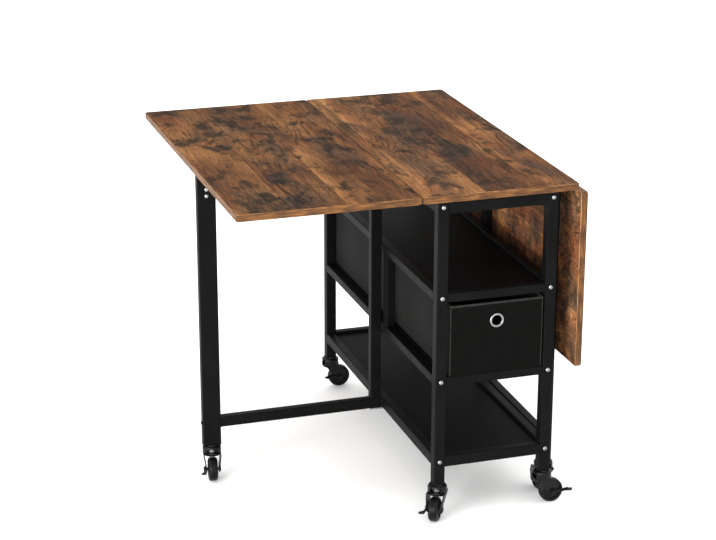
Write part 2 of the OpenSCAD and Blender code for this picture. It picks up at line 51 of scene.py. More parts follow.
mm = 0.001
middleLow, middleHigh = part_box("centre_board")
frameX = (middleLow.x + middleHigh.x) / 2


# Colours are written as sRGB hex and turned to linear here
def linear(hexColour):
    values = []
    for i in (1, 3, 5):
        c = int(hexColour[i:i + 2], 16) / 255
        values.append(c / 12.92 if c <= 0.04045 else ((c + 0.055) / 1.055) ** 2.4)
    return (*values, 1.0)


# Adds one node: settings go to its sockets, by name or number, or its properties; links say what feeds its sockets
def addNode(tree, kind, settings=None, links=None):
    node = tree.nodes.new(kind)
    for name, value in (settings or {}).items():
        if name == "stops":
            ramp = node.color_ramp.elements
            while len(ramp) < len(value):
                ramp.new(0.5)
            for element, (place, colour) in zip(ramp, value):
                element.position = place
                element.color = colour if isinstance(colour, tuple) else linear(colour)
        elif isinstance(name, int) or name in node.inputs:
            node.inputs[name].default_value = value
        else:
            setattr(node, name, value)
    for name, source in (links or {}).items():
        tree.links.new(source, node.inputs[name])
    return node


def newMaterial(name, **shader):
    material = bpy.data.materials.new(name)
    material.use_nodes = True
    tree = material.node_tree
    surface = tree.nodes["Principled BSDF"]
    for socket, value in shader.items():
        surface.inputs[socket.replace("_", " ")].default_value = value
    place = addNode(tree, "ShaderNodeTexCoord").outputs["Object"]
    return material, tree, surface, place


# Pattern size in millimetres to mapping scale, for a noise whose own scale is 1
def perMm(*sizes):
    return tuple(1000 / s for s in sizes)


# A grey level for a ramp that lightens or darkens what it is multiplied with
def grey(level):
    return (level, level, level, 1.0)


rusticLaminate = {
    "plankMm": 118,
    "plankTone": 0.16,
    "ringCount": 13,
    "ground": [(0.38, "#311f15"), (0.45, "#462d1d"), (0.51, "#583922"), (0.57, "#6a472a"), (0.65, "#805836")],
    "redColour": "#532c18",
    "veilColour": "#383029",
    "cloudColour": "#171611",
    "flakeColour": "#140e09",
    # Each noise in the print: its width and length in millimetres, seed, detail, roughness and bend,
    # and whether it starts afresh on every plank
    "noises": {
        "blotch": (120, 260, 1.0, 3.0, 0.5, 0.3, True),
        "streak": (17, 210, 3.0, 6.0, 0.62, 0.5, True),
        "red": (60, 260, 8.0, 4.0, 0.6, 0.0, True),
        "veil": (90, 240, 17.0, 4.0, 0.6, 0.6, False),
        "cloud": (46, 70, 12.0, 5.0, 0.66, 0.4, False),
        "ring": (46, 420, 20.0, 2.0, 0.5, 0.6, True),
        "patch": (110, 260, 27.0, 3.0, 0.6, 0.0, False),
        "flake": (2.4, 46, 33.0, 2.0, 0.55, 0.3, False),
        "fibre": (2.6, 80, 40.0, 3.0, 0.65, 0.0, False),
    },
}


# Melamine-faced chipboard, its decor paper printed as old barn wood and pressed with a satin plate:
# planks of golden brown under soft grey clouds, thin broken growth lines, and grain that is only just felt
def laminateMaterial(name, offset, redness=0.2, clouding=0.9, toneAndPaintedLightLift=1.0, stretch=1.0):
    look = rusticLaminate
    material, tree, surface, place = newMaterial(name, Roughness=0.6, IOR=1.5, Specular_IOR_Level=0.02)

    # Each printed plank has its own tone and its own piece of the figure
    split = addNode(tree, "ShaderNodeSeparateXYZ", links={"Vector": place})
    plankX = addNode(tree, "ShaderNodeMath", {"operation": "MULTIPLY_ADD", 1: 1000 / look["plankMm"], 2: offset},
        {0: split.outputs["X"]})
    plankNumber = addNode(tree, "ShaderNodeMath", {"operation": "FLOOR"}, {0: plankX.outputs[0]})
    plankStep = addNode(tree, "ShaderNodeMath", {"operation": "FRACT"}, {0: plankX.outputs[0]})
    chance = addNode(tree, "ShaderNodeTexWhiteNoise", {"noise_dimensions": "1D"}, {"W": plankNumber.outputs[0]})
    moved = addNode(tree, "ShaderNodeVectorMath", {"operation": "ADD"}, {0: place, 1: chance.outputs["Color"]})

    noises = {}
    for layer, (width, length, seed, detail, rough, bend, afresh) in look["noises"].items():
        laid = addNode(tree, "ShaderNodeMapping", {"Location": (seed + offset, seed * 2.3, offset),
            "Scale": perMm(width, length * stretch, width)}, {"Vector": moved.outputs[0] if afresh else place})
        noises[layer] = addNode(tree, "ShaderNodeTexNoise",
            {"Scale": 1.0, "Detail": detail, "Roughness": rough, "Distortion": bend},
            {"Vector": laid.outputs[0]}).outputs["Fac"]

    blotched = addNode(tree, "ShaderNodeMath", {"operation": "MULTIPLY", 1: 0.5}, {0: noises["blotch"]})
    streaked = addNode(tree, "ShaderNodeMath", {"operation": "MULTIPLY_ADD", 1: 0.5 - look["plankTone"] / 2},
        {0: noises["streak"], 2: blotched.outputs[0]})
    tone = addNode(tree, "ShaderNodeMath", {"operation": "MULTIPLY_ADD", 1: look["plankTone"]},
        {0: chance.outputs["Value"], 2: streaked.outputs[0]})
    ground = addNode(tree, "ShaderNodeValToRGB", {"stops": look["ground"]}, {"Fac": tone.outputs[0]})

    # The dark clouds gather under the grey veil and are frayed along the grain by the streaks
    clouds = addNode(tree, "ShaderNodeMath", {"operation": "MULTIPLY", 1: 0.60}, {0: noises["cloud"]})
    gathered = addNode(tree, "ShaderNodeMath", {"operation": "MULTIPLY_ADD", 1: 0.24},
        {0: noises["veil"], 2: clouds.outputs[0]})
    frayed = addNode(tree, "ShaderNodeMath", {"operation": "MULTIPLY_ADD", 1: 0.16},
        {0: noises["streak"], 2: gathered.outputs[0]})

    # Growth lines are the contours of a long smooth noise, and show only in patches
    rings = addNode(tree, "ShaderNodeMath", {"operation": "MULTIPLY", 1: look["ringCount"]}, {0: noises["ring"]})
    ringStep = addNode(tree, "ShaderNodeMath", {"operation": "FRACT"}, {0: rings.outputs[0]})
    ringLine = addNode(tree, "ShaderNodeValToRGB",
        {"stops": [(0.0, grey(0.2)), (0.09, grey(0.42)), (0.24, grey(1.0)), (0.8, grey(1.14)), (1.0, grey(0.55))]},
        {"Fac": ringStep.outputs[0]})
    plankLine = addNode(tree, "ShaderNodeValToRGB",
        {"stops": [(0.0, grey(0.35)), (0.014, grey(0.45)), (0.03, grey(1.5)), (0.09, grey(1.15)), (0.3, grey(1.0)),
            (1.0, grey(0.94))]}, {"Fac": plankStep.outputs[0]})

    # The inks go on one by one, each through its mask: a noise, where the mask starts and ends, and how strong it is.
    # The checks along the grain are 0.5 mm wide on a real board and are drawn broader so that they show
    inks = [
        ("MIX", noises["red"], 0.46, 0.64, 0.0, 2 * redness, linear(look["redColour"])),
        ("MIX", noises["veil"], 0.46, 0.62, 0.0, 0.7 * clouding, linear(look["veilColour"])),
        ("MIX", frayed.outputs[0], 0.50, 0.575, 0.0, 0.92 * clouding, linear(look["cloudColour"])),
        ("MULTIPLY", noises["patch"], 0.45, 0.56, 0.1, 0.9, ringLine.outputs["Color"]),
        ("MULTIPLY", noises["patch"], 0.40, 0.60, 0.9, 0.25, plankLine.outputs["Color"]),
        ("MIX", noises["flake"], 0.58, 0.68, 0.0, 0.85, linear(look["flakeColour"])),
    ]
    printed = ground.outputs["Color"]
    for kind, source, start, end, least, most, ink in inks:
        mask = addNode(tree, "ShaderNodeMapRange",
            {"From Min": start, "From Max": end, "To Min": least, "To Max": most}, {"Value": source})
        settings, links = {"blend_type": kind}, {"Fac": mask.outputs[0], "Color1": printed}
        (settings if isinstance(ink, tuple) else links)["Color2"] = ink
        printed = addNode(tree, "ShaderNodeMixRGB", settings, links).outputs[0]

    # The lift scales the whole print: on the centre board it makes the print a little lighter, on the underside copy
    # it is painted light that brightens the hanging leaf's shaded inner face
    fibreTone = addNode(tree, "ShaderNodeValToRGB",
        {"stops": [(0.3, grey(0.68 * toneAndPaintedLightLift)), (0.5, grey(toneAndPaintedLightLift)), (0.7, grey(1.28 * toneAndPaintedLightLift))]}, {"Fac": noises["fibre"]})
    finished = addNode(tree, "ShaderNodeMixRGB", {"blend_type": "MULTIPLY", "Fac": 1.0},
        {"Color1": printed, "Color2": fibreTone.outputs["Color"]})
    tree.links.new(finished.outputs[0], surface.inputs["Base Color"])
    satin = addNode(tree, "ShaderNodeMapRange", {"To Min": 0.5, "To Max": 0.7}, {"Value": noises["fibre"]})
    tree.links.new(satin.outputs[0], surface.inputs["Roughness"])
    bump = addNode(tree, "ShaderNodeBump", {"Strength": 0.25, "Distance": 0.25 * mm}, {"Height": noises["fibre"]})
    tree.links.new(bump.outputs[0], surface.inputs["Normal"])
    return material


# ABS edge band, gravure printed to go with the boards: long streaks, paler and smoother than the faces
def edgeBandMaterial(name, patchiness):
    material, tree, surface, place = newMaterial(name, Roughness=0.5, IOR=1.53, Specular_IOR_Level=0.18)
    streakPlace = addNode(tree, "ShaderNodeMapping", {"Scale": perMm(46, 46, 3.2)}, {"Vector": place})
    streak = addNode(tree, "ShaderNodeTexNoise", {"Scale": 1.0, "Detail": 5.0, "Roughness": 0.6, "Distortion": 0.3},
        {"Vector": streakPlace.outputs[0]})
    tone = addNode(tree, "ShaderNodeValToRGB",
        {"stops": [(0.32, "#2f1d11"), (0.45, "#4f3219"), (0.55, "#674321"), (0.70, "#7f582e")]},
        {"Fac": streak.outputs["Fac"]})
    patchPlace = addNode(tree, "ShaderNodeMapping", {"Location": (5, 2, 0), "Scale": perMm(30, 30, 30)},
        {"Vector": place})
    patch = addNode(tree, "ShaderNodeTexNoise", {"Scale": 1.0, "Detail": 3.0}, {"Vector": patchPlace.outputs[0]})
    patchMask = addNode(tree, "ShaderNodeMapRange", {"From Min": 0.55 - 0.1 * patchiness, "From Max": 0.7,
        "To Max": patchiness}, {"Value": patch.outputs["Fac"]})
    mixed = addNode(tree, "ShaderNodeMixRGB", {"Color2": linear("#3e2614")},
        {"Fac": patchMask.outputs[0], "Color1": tone.outputs["Color"]})
    tree.links.new(mixed.outputs[0], surface.inputs["Base Color"])
    bump = addNode(tree, "ShaderNodeBump", {"Strength": 0.15, "Distance": 0.2 * mm},
        {"Height": streak.outputs["Fac"]})
    tree.links.new(bump.outputs[0], surface.inputs["Normal"])
    return material


# The bevelled lips of the ABS band are coloured paler than the band: a painted highlight along the arrises, where the
# light catches the edges
def arrisHighlightLipMaterial():
    material, tree, surface, place = newMaterial("trimmedBandLip", Roughness=0.5, IOR=1.53, Specular_IOR_Level=0.2)
    spots = addNode(tree, "ShaderNodeMapping", {"Scale": perMm(18, 18, 18)}, {"Vector": place})
    noise = addNode(tree, "ShaderNodeTexNoise", {"Scale": 1.0, "Detail": 4.0}, {"Vector": spots.outputs[0]})
    tone = addNode(tree, "ShaderNodeValToRGB", {"stops": [(0.35, "#6b4728"), (0.5, "#96693f"), (0.65, "#b58a5c")]},
        {"Fac": noise.outputs["Fac"]})
    tree.links.new(tone.outputs["Color"], surface.inputs["Base Color"])
    return material


# Mild steel tube, polyester powder coated matt black: fine orange peel and a weak broad gloss
def powderCoatMaterial(name, colour="#080808", roughness=0.5, gloss=0.05):
    material, tree, surface, place = newMaterial(name, Roughness=roughness, IOR=1.5, Specular_IOR_Level=gloss)
    peelPlace = addNode(tree, "ShaderNodeMapping", {"Scale": perMm(1.6, 1.6, 1.6)}, {"Vector": place})
    peel = addNode(tree, "ShaderNodeTexNoise", {"Scale": 1.0, "Detail": 2.0}, {"Vector": peelPlace.outputs[0]})
    castPlace = addNode(tree, "ShaderNodeMapping", {"Scale": perMm(55, 55, 55)}, {"Vector": place})
    cast = addNode(tree, "ShaderNodeTexNoise", {"Scale": 1.0, "Detail": 4.0}, {"Vector": castPlace.outputs[0]})
    amount = addNode(tree, "ShaderNodeMapRange", {"From Min": 0.4, "From Max": 0.75, "To Max": 0.6},
        {"Value": cast.outputs["Fac"]})
    tone = addNode(tree, "ShaderNodeMixRGB", {"Color1": linear(colour), "Color2": linear("#0f0f0f")},
        {"Fac": amount.outputs[0]})
    tree.links.new(tone.outputs[0], surface.inputs["Base Color"])
    sheen = addNode(tree, "ShaderNodeMapRange", {"To Min": roughness - 0.08, "To Max": roughness + 0.10},
        {"Value": cast.outputs["Fac"]})
    tree.links.new(sheen.outputs[0], surface.inputs["Roughness"])
    # Real orange peel is about 0.8 mm across: it is drawn at twice that so that it shows
    bump = addNode(tree, "ShaderNodeBump", {"Strength": 0.18, "Distance": 0.15 * mm}, {"Height": peel.outputs["Fac"]})
    tree.links.new(bump.outputs[0], surface.inputs["Normal"])
    return material


# Steel fittings, turned or pressed and then zinc plated bright: cool grey metal with a faint uneven cloud
def zincMaterial(name, roughness=0.3, colour="#a9acae"):
    material, tree, surface, place = newMaterial(name, Roughness=roughness, Metallic=1.0)
    cloudPlace = addNode(tree, "ShaderNodeMapping", {"Scale": perMm(7, 7, 7)}, {"Vector": place})
    cloud = addNode(tree, "ShaderNodeTexNoise", {"Scale": 1.0, "Detail": 5.0}, {"Vector": cloudPlace.outputs[0]})
    tone = addNode(tree, "ShaderNodeValToRGB", {"stops": [(0.35, "#85888a"), (0.62, colour)]},
        {"Fac": cloud.outputs["Fac"]})
    tree.links.new(tone.outputs["Color"], surface.inputs["Base Color"])
    gloss = addNode(tree, "ShaderNodeMapRange", {"To Min": roughness - 0.07, "To Max": roughness + 0.14},
        {"Value": cloud.outputs["Fac"]})
    tree.links.new(gloss.outputs[0], surface.inputs["Roughness"])
    return material


# Hardboard pressed with a black melamine face: closed pores along the board and a low even sheen
def shelfBoardMaterial():
    material, tree, surface, place = newMaterial("blackShelfBoard", Roughness=0.55, IOR=1.5, Specular_IOR_Level=0.03)
    porePlace = addNode(tree, "ShaderNodeMapping", {"Scale": perMm(2.4, 38, 2.4)}, {"Vector": place})
    pore = addNode(tree, "ShaderNodeTexNoise", {"Scale": 1.0, "Detail": 4.0, "Roughness": 0.6},
        {"Vector": porePlace.outputs[0]})
    tone = addNode(tree, "ShaderNodeValToRGB", {"stops": [(0.35, "#080809"), (0.6, "#0f0f10")]},
        {"Fac": pore.outputs["Fac"]})
    tree.links.new(tone.outputs["Color"], surface.inputs["Base Color"])
    bump = addNode(tree, "ShaderNodeBump", {"Strength": 0.2, "Distance": 0.15 * mm}, {"Height": pore.outputs["Fac"]})
    tree.links.new(bump.outputs[0], surface.inputs["Normal"])
    return material


# Spun-bonded polypropylene felt over card: matte, slightly furry, pressed with a grid of small bond points
def clothMaterial(name, dark, light, bondMm=2.6):
    material, tree, surface, place = newMaterial(name, Roughness=0.92, IOR=1.49, Specular_IOR_Level=0.05,
        Sheen_Weight=0.08, Sheen_Roughness=0.4)
    # Real bond points are about 1 mm apart: they are drawn at 2.6 mm so that they show
    bondPlace = addNode(tree, "ShaderNodeMapping", {"Rotation": (0.6, 0.6, 0.78), "Scale": perMm(*(bondMm,) * 3)},
        {"Vector": place})
    bond = addNode(tree, "ShaderNodeTexVoronoi", {"Scale": 1.0, "Randomness": 0.35}, {"Vector": bondPlace.outputs[0]})
    fibrePlace = addNode(tree, "ShaderNodeMapping", {"Scale": perMm(9, 9, 9)}, {"Vector": place})
    fibre = addNode(tree, "ShaderNodeTexNoise", {"Scale": 1.0, "Detail": 8.0, "Roughness": 0.75},
        {"Vector": fibrePlace.outputs[0]})
    tone = addNode(tree, "ShaderNodeValToRGB", {"stops": [(0.35, dark), (0.68, light)]},
        {"Fac": fibre.outputs["Fac"]})
    pressed = addNode(tree, "ShaderNodeMapRange", {"From Max": 0.5, "To Min": 0.62, "To Max": 1.0},
        {"Value": bond.outputs["Distance"]})
    shaded = addNode(tree, "ShaderNodeMixRGB", {"blend_type": "MULTIPLY", "Fac": 1.0},
        {"Color1": tone.outputs["Color"], "Color2": pressed.outputs[0]})
    tree.links.new(shaded.outputs[0], surface.inputs["Base Color"])
    height = addNode(tree, "ShaderNodeMath", {"operation": "MULTIPLY_ADD", 1: 0.6},
        {0: fibre.outputs["Fac"], 2: bond.outputs["Distance"]})
    bump = addNode(tree, "ShaderNodeBump", {"Strength": 0.5, "Distance": 0.35 * mm}, {"Height": height.outputs[0]})
    tree.links.new(bump.outputs[0], surface.inputs["Normal"])
    return material


# Nylon, injection moulded: nearly black, satin, with faint flow marks and dust in its grain
def nylonMaterial(name, dark, light, roughness):
    material, tree, surface, place = newMaterial(name, Roughness=roughness, IOR=1.53, Specular_IOR_Level=0.12)
    flowPlace = addNode(tree, "ShaderNodeMapping", {"Scale": perMm(12, 12, 12)}, {"Vector": place})
    flow = addNode(tree, "ShaderNodeTexNoise", {"Scale": 1.0, "Detail": 5.0, "Distortion": 0.4},
        {"Vector": flowPlace.outputs[0]})
    tone = addNode(tree, "ShaderNodeValToRGB", {"stops": [(0.35, dark), (0.65, light)]}, {"Fac": flow.outputs["Fac"]})
    tree.links.new(tone.outputs["Color"], surface.inputs["Base Color"])
    gloss = addNode(tree, "ShaderNodeMapRange", {"To Min": roughness - 0.08, "To Max": roughness + 0.12},
        {"Value": flow.outputs["Fac"]})
    tree.links.new(gloss.outputs[0], surface.inputs["Roughness"])
    grainPlace = addNode(tree, "ShaderNodeMapping", {"Scale": perMm(1.2, 1.2, 1.2)}, {"Vector": place})
    grain = addNode(tree, "ShaderNodeTexNoise", {"Scale": 1.0, "Detail": 2.0}, {"Vector": grainPlace.outputs[0]})
    bump = addNode(tree, "ShaderNodeBump", {"Strength": 0.12, "Distance": 0.1 * mm}, {"Height": grain.outputs["Fac"]})
    tree.links.new(bump.outputs[0], surface.inputs["Normal"])
    return material


finishes = {
    "centre": laminateMaterial("barnLaminateCentre", 4.3, clouding=0.8, toneAndPaintedLightLift=1.22),
    "left": laminateMaterial("barnLaminateLeft", 9.7),
    "right": laminateMaterial("barnLaminateRight", 15.2, redness=0.3, clouding=0.8),
    # The underside copy is lifted 2.5 times: painted light on the hanging leaf's inner face, which lies in the shade
    # of the top and the frame
    "under": laminateMaterial("barnLaminateUnderside", 21.4, redness=0.4, clouding=0.75, toneAndPaintedLightLift=2.5, stretch=0.45),
    "band": edgeBandMaterial("printedEdgeBand", 0.6),
    "bandRight": edgeBandMaterial("printedEdgeBandRight", 0.95),
    "lip": arrisHighlightLipMaterial(),
    "tube": powderCoatMaterial("powderCoatedTube"),
    "pressing": powderCoatMaterial("enamelledPressing", "#060607", 0.34, 0.16),
    "zinc": zincMaterial("zincPlatedFitting"),
    "hinge": zincMaterial("zincPlatedHinge", 0.36, "#b9bcbf"),
    "eyelet": zincMaterial("nickelPlatedEyelet", 0.3, "#979793"),
    "shelf": shelfBoardMaterial(),
    "cloth": clothMaterial("spunBondedCloth", "#040404", "#080807"),
    "binding": clothMaterial("wovenBindingTape", "#1c1c1b", "#2f2f2d", 1.8),
    "thread": clothMaterial("polyesterThread", "#0c0c0c", "#161616", 1.2),
    "wheel": nylonMaterial("mouldedNylonWheel", "#060607", "#0c0c0d", 0.36),
    "lever": nylonMaterial("mouldedNylonLever", "#060606", "#0c0c0d", 0.4),
}
print("materials ready")


def finishFor(name):
    if name.endswith("eyelet"):
        return "eyelet"
    if "hinge" in name:
        return "hinge"
    if name.endswith(("bolts", "screws", "stem", "stems", "brackets")):
        return "zinc"
    if name.endswith("shelf"):
        return "shelf"
    if name.endswith("drawer_base"):
        return "cloth"
    if name.endswith("castor_fork"):
        return "pressing"
    if name.endswith("castor_wheel"):
        return "wheel"
    if name.endswith("castor_brake"):
        return "lever"
    return "tube"


for name, node in nodes.items():
    if not node.material_slots:
        node.data.materials.append(None)
    for slot in node.material_slots:
        slot.material = finishes[finishFor(name)]


def addPiece(name, shape, materials, body, place=None, crease=32):
    # Edges sharper than the crease angle stay crisp, the rest are shaded smooth
    bmesh.ops.recalc_face_normals(shape, faces=shape.faces)
    for face in shape.faces:
        face.smooth = True
    for edge in shape.edges:
        if len(edge.link_faces) != 2 or edge.calc_face_angle(0) > math.radians(crease):
            edge.smooth = False
    mesh = bpy.data.meshes.new(name)
    shape.to_mesh(mesh)
    shape.free()
    for material in materials:
        mesh.materials.append(finishes[material])
    piece = bpy.data.objects.new(name, mesh)
    bpy.context.scene.collection.objects.link(piece)
    if place is not None:
        piece.matrix_world = place
    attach(piece, body)
    return piece


boardShape = {"cornerRadius": 3 * mm, "upperLip": 1.0 * mm, "lowerLip": 1.8 * mm}


def addBoard(name, node, body, face, hanging=False):
    low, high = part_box(node)
    size = high - low
    if hanging:  # its upper face looks outwards, to +X
        width, thickness = size.z, size.x
        place = Matrix.Translation((low + high) / 2) @ Matrix.Rotation(math.radians(90), 4, "Y")
    else:
        width, thickness = size.x, size.z
        place = Matrix.Translation((low + high) / 2)
    shape = bmesh.new()
    bmesh.ops.create_cube(shape, size=1.0)
    bmesh.ops.scale(shape, vec=(width, size.y, thickness), verts=shape.verts)
    upright = [e for e in shape.edges if abs(e.verts[0].co.z - e.verts[1].co.z) > thickness / 2]
    bmesh.ops.bevel(shape, geom=upright, offset=boardShape["cornerRadius"], segments=5, affect="EDGES")
    for side, lip in ((1, boardShape["upperLip"]), (-1, boardShape["lowerLip"])):
        rim = [e for e in shape.edges if all(v.co.z * side > thickness / 2 - 1e-6 for v in e.verts)]
        bmesh.ops.bevel(shape, geom=rim, offset=lip, segments=3, affect="EDGES")
    bmesh.ops.recalc_face_normals(shape, faces=shape.faces)
    for f in shape.faces:
        rise = f.normal.z
        f.material_index = 0 if rise > 0.999 else 3 if rise < -0.999 else 1 if abs(rise) < 0.02 else 2
    band = "bandRight" if hanging else "band"
    # The bevelled lips between face and band get the paler lip material, a painted highlight along the top and bottom
    # arrises
    piece = addPiece(name, shape, [face, band, "lip", "under"], body, place)
    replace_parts(piece, node)


addBoard("centreBoard", "centre_board", "frame", "centre")
addBoard("leftLeaf", "left_leaf", "left_leaf", "left")
addBoard("rightLeaf", "right_leaf", "right_leaf", "right", hanging=True)
print("boards ready")

drawerCloth = {
    "wall": 3 * mm,
    "corner": 5 * mm,
    "bulge": 1.6 * mm,
    "wave": 0.5 * mm,
    "holeInset": 3 * mm,
    "bindingDrop": 3.5 * mm,
    "bindingThick": 0.8 * mm,
    "stitchPitch": 4.5 * mm,
    "stitchLong": 3.0 * mm,
    "stitchBelow": 4 * mm,
    "stitchRadius": 0.42 * mm,
    "weltRadius": 1.2 * mm,
    "rows": 18,
    "columnStep": 9 * mm,
    "weltRings": 12,
}


# Points and outward directions round a rectangle with rounded corners
def roundedPath(width, depth, radius, step):
    points = []
    for cx, cy, start in ((1, -1, -90), (1, 1, 0), (-1, 1, 90), (-1, -1, 180)):
        centre = Vector((cx * (width / 2 - radius), cy * (depth / 2 - radius)))
        for k in range(7):
            angle = math.radians(start + 15 * k)
            out = Vector((math.cos(angle), math.sin(angle)))
            points.append((centre + out * radius, out))
        run = (depth if start in (-90, 90) else width) - 2 * radius
        along = Vector((-out.y, out.x))
        count = max(2, int(run / step))
        first = points[-1][0]
        for k in range(1, count):
            points.append((first + along * run * k / count, out))
    return points


def skin(shape, rings, closed=False):
    # Joins neighbouring rings of points with quads
    made = [[shape.verts.new(p) for p in ring] for ring in rings]
    pairs = list(zip(made, made[1:])) + ([(made[-1], made[0])] if closed else [])
    for a, b in pairs:
        for i in range(len(a)):
            k = (i + 1) % len(a)
            shape.faces.new((a[i], a[k], b[k], b[i]))
    return made


def clothSag(point, out, z, height, depth, look):
    # Long sides breathe out a little; the front and the back stay flat behind the eyelet
    if abs(out.x) < 0.7:
        return 0.0
    along = point.y / (depth / 2)
    up = z / height
    swell = look["bulge"] * max(0.0, 1 - along ** 4) * math.sin(math.pi * min(1, up * 1.02)) ** 0.8
    ripple = look["wave"] * math.sin(7.3 * along + 2.1 * out.x) * math.sin(math.pi * up) * (1 - along ** 2)
    return swell + ripple


def addDrawer(end, body):
    look = drawerCloth
    low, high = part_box(end + "_drawer")
    width, depth, height = high - low
    eyeLow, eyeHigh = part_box(end + "_drawer_eyelet")
    eye = (eyeLow.z + eyeHigh.z) / 2 - low.z
    hole = (eyeHigh.z - eyeLow.z) / 2 - look["holeInset"]
    place = Matrix.Translation(((low.x + high.x) / 2, (low.y + high.y) / 2, low.z))
    if end == "far":
        place = place @ Matrix.Rotation(math.pi, 4, "Z")
    path = roundedPath(width, depth, look["corner"], look["columnStep"])

    def ring(inset, z):
        return [Vector((*(p + out * (clothSag(p, out, z, height, depth, look) - inset)), z))
            for p, out in path]

    rows = look["rows"]
    outer = [ring(0, height * k / rows) for k in range(rows + 1)]
    inner = [ring(look["wall"], look["wall"] + (height - look["wall"]) * k / rows) for k in range(rows, -1, -1)]
    shape = bmesh.new()
    made = skin(shape, outer + inner)
    shape.faces.new(made[0])
    shape.faces.new(made[-1])
    bmesh.ops.recalc_face_normals(shape, faces=shape.faces)
    drawer = addPiece(end + "DrawerCloth", shape, ["cloth"], body, place)
    punch = bmesh.new()
    bmesh.ops.create_cone(punch, cap_ends=True, segments=40, radius1=hole, radius2=hole, depth=20 * mm,
        matrix=Matrix.Translation((0, -depth / 2, eye)) @ Matrix.Rotation(math.pi / 2, 4, "X"))
    cutterMesh = bpy.data.meshes.new("punch")
    punch.to_mesh(cutterMesh)
    punch.free()
    cutter = bpy.data.objects.new("punch", cutterMesh)
    bpy.context.scene.collection.objects.link(cutter)
    cutter.matrix_world = place
    cutting = drawer.modifiers.new("hole", "BOOLEAN")
    cutting.object = cutter
    cutting.operation = "DIFFERENCE"
    bpy.context.view_layer.update()
    cut = bpy.data.meshes.new_from_object(drawer.evaluated_get(bpy.context.evaluated_depsgraph_get()))
    drawer.modifiers.clear()
    drawer.data = cut
    bpy.data.objects.remove(cutter)
    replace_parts(drawer, end + "_drawer")

    # Binding tape folded over the rim
    t, w, drop = look["bindingThick"], look["wall"], look["bindingDrop"]
    profile = [(t, -drop), (t, -1.2 * mm), (0.4 * t, -0.1 * mm), (-w / 2, t), (-w - 0.4 * t, -0.1 * mm),
        (-w - t, -1.2 * mm), (-w - t, -drop), (-w + 0.3 * mm, -drop), (-w + 0.3 * mm, -1.5 * mm),
        (-0.3 * mm, -1.5 * mm), (-0.3 * mm, -drop)]
    shape = bmesh.new()
    skin(shape, [ring(-n, height + z) for n, z in profile], closed=True)
    addPiece(end + "DrawerBinding", shape, ["binding"], body, place, crease=50)

    # A row of stitches under the tape, short rounded bars
    shape = bmesh.new()
    stitchZ = height - drop - look["stitchBelow"]
    loop = ring(-0.1 * mm, stitchZ)
    travelled, nextStitch = 0.0, 0.0
    for i, start in enumerate(loop):
        end3 = loop[(i + 1) % len(loop)]
        span = (end3 - start).length
        while nextStitch < travelled + span:
            middle = start.lerp(end3, (nextStitch - travelled) / span)
            along = (end3 - start).normalized()
            turn = along.to_track_quat("Z", "Y").to_matrix().to_4x4()
            bmesh.ops.create_icosphere(shape, subdivisions=1, radius=1.0,
                matrix=Matrix.Translation(middle) @ turn @ Matrix.Diagonal(
                    (look["stitchRadius"], look["stitchRadius"], look["stitchLong"] / 2, 1)))
            nextStitch += look["stitchPitch"]
        travelled += span
    addPiece(end + "DrawerStitching", shape, ["thread"], body, place, crease=80)

    # A piped welt down each corner
    shape = bmesh.new()
    bar = [(math.cos(math.radians(a)), math.sin(math.radians(a))) for a in range(0, 360, 30)]
    for sx in (-1, 1):
        for sy in (-1, 1):
            reach = look["corner"] * (1 - math.sqrt(0.5))
            centre = Vector((sx * (width / 2 - reach), sy * (depth / 2 - reach)))
            rings = []
            for k in range(look["weltRings"] + 1):
                z = 1.5 * mm + (height - drop - 2 * mm) * k / look["weltRings"]
                rings.append([Vector((centre.x + c * look["weltRadius"], centre.y + s * look["weltRadius"], z))
                    for c, s in bar])
            made = skin(shape, rings)
            shape.faces.new(made[0])
            shape.faces.new(made[-1])
    addPiece(end + "DrawerWelts", shape, ["binding"], body, place, crease=60)


addDrawer("near", "near_drawer")
addDrawer("far", "far_drawer")
print("drawers ready")

boltLook = {
    "socket": 2.0 * mm,
    "socketDeep": 1.8 * mm,
    "headHigh": 3 * mm,
    "shankShare": 0.6,
    "threadPitch": 1.25 * mm,
    "threadShare": 0.5,
    "threadDeep": 0.12,
    "pointHigh": 0.8 * mm,
    "segments": 24,
    "domeAngles": (12, 25, 38, 50, 60),
}


# The boxes of the separate solids in one CAD node
def solidBoxes(node):
    shape = bmesh.new()
    shape.from_mesh(nodes[node].data)
    shape.transform(nodes[node].matrix_world)
    bmesh.ops.remove_doubles(shape, verts=shape.verts, dist=1e-6)
    left = set(shape.verts)
    boxes = []
    while left:
        seen, waiting = [], [left.pop()]
        while waiting:
            vert = waiting.pop()
            seen.append(vert.co.copy())
            for edge in vert.link_edges:
                other = edge.other_vert(vert)
                if other in left:
                    left.discard(other)
                    waiting.append(other)
        boxes.append((Vector(min(p[i] for p in seen) for i in range(3)),
            Vector(max(p[i] for p in seen) for i in range(3))))
    shape.free()
    return boxes


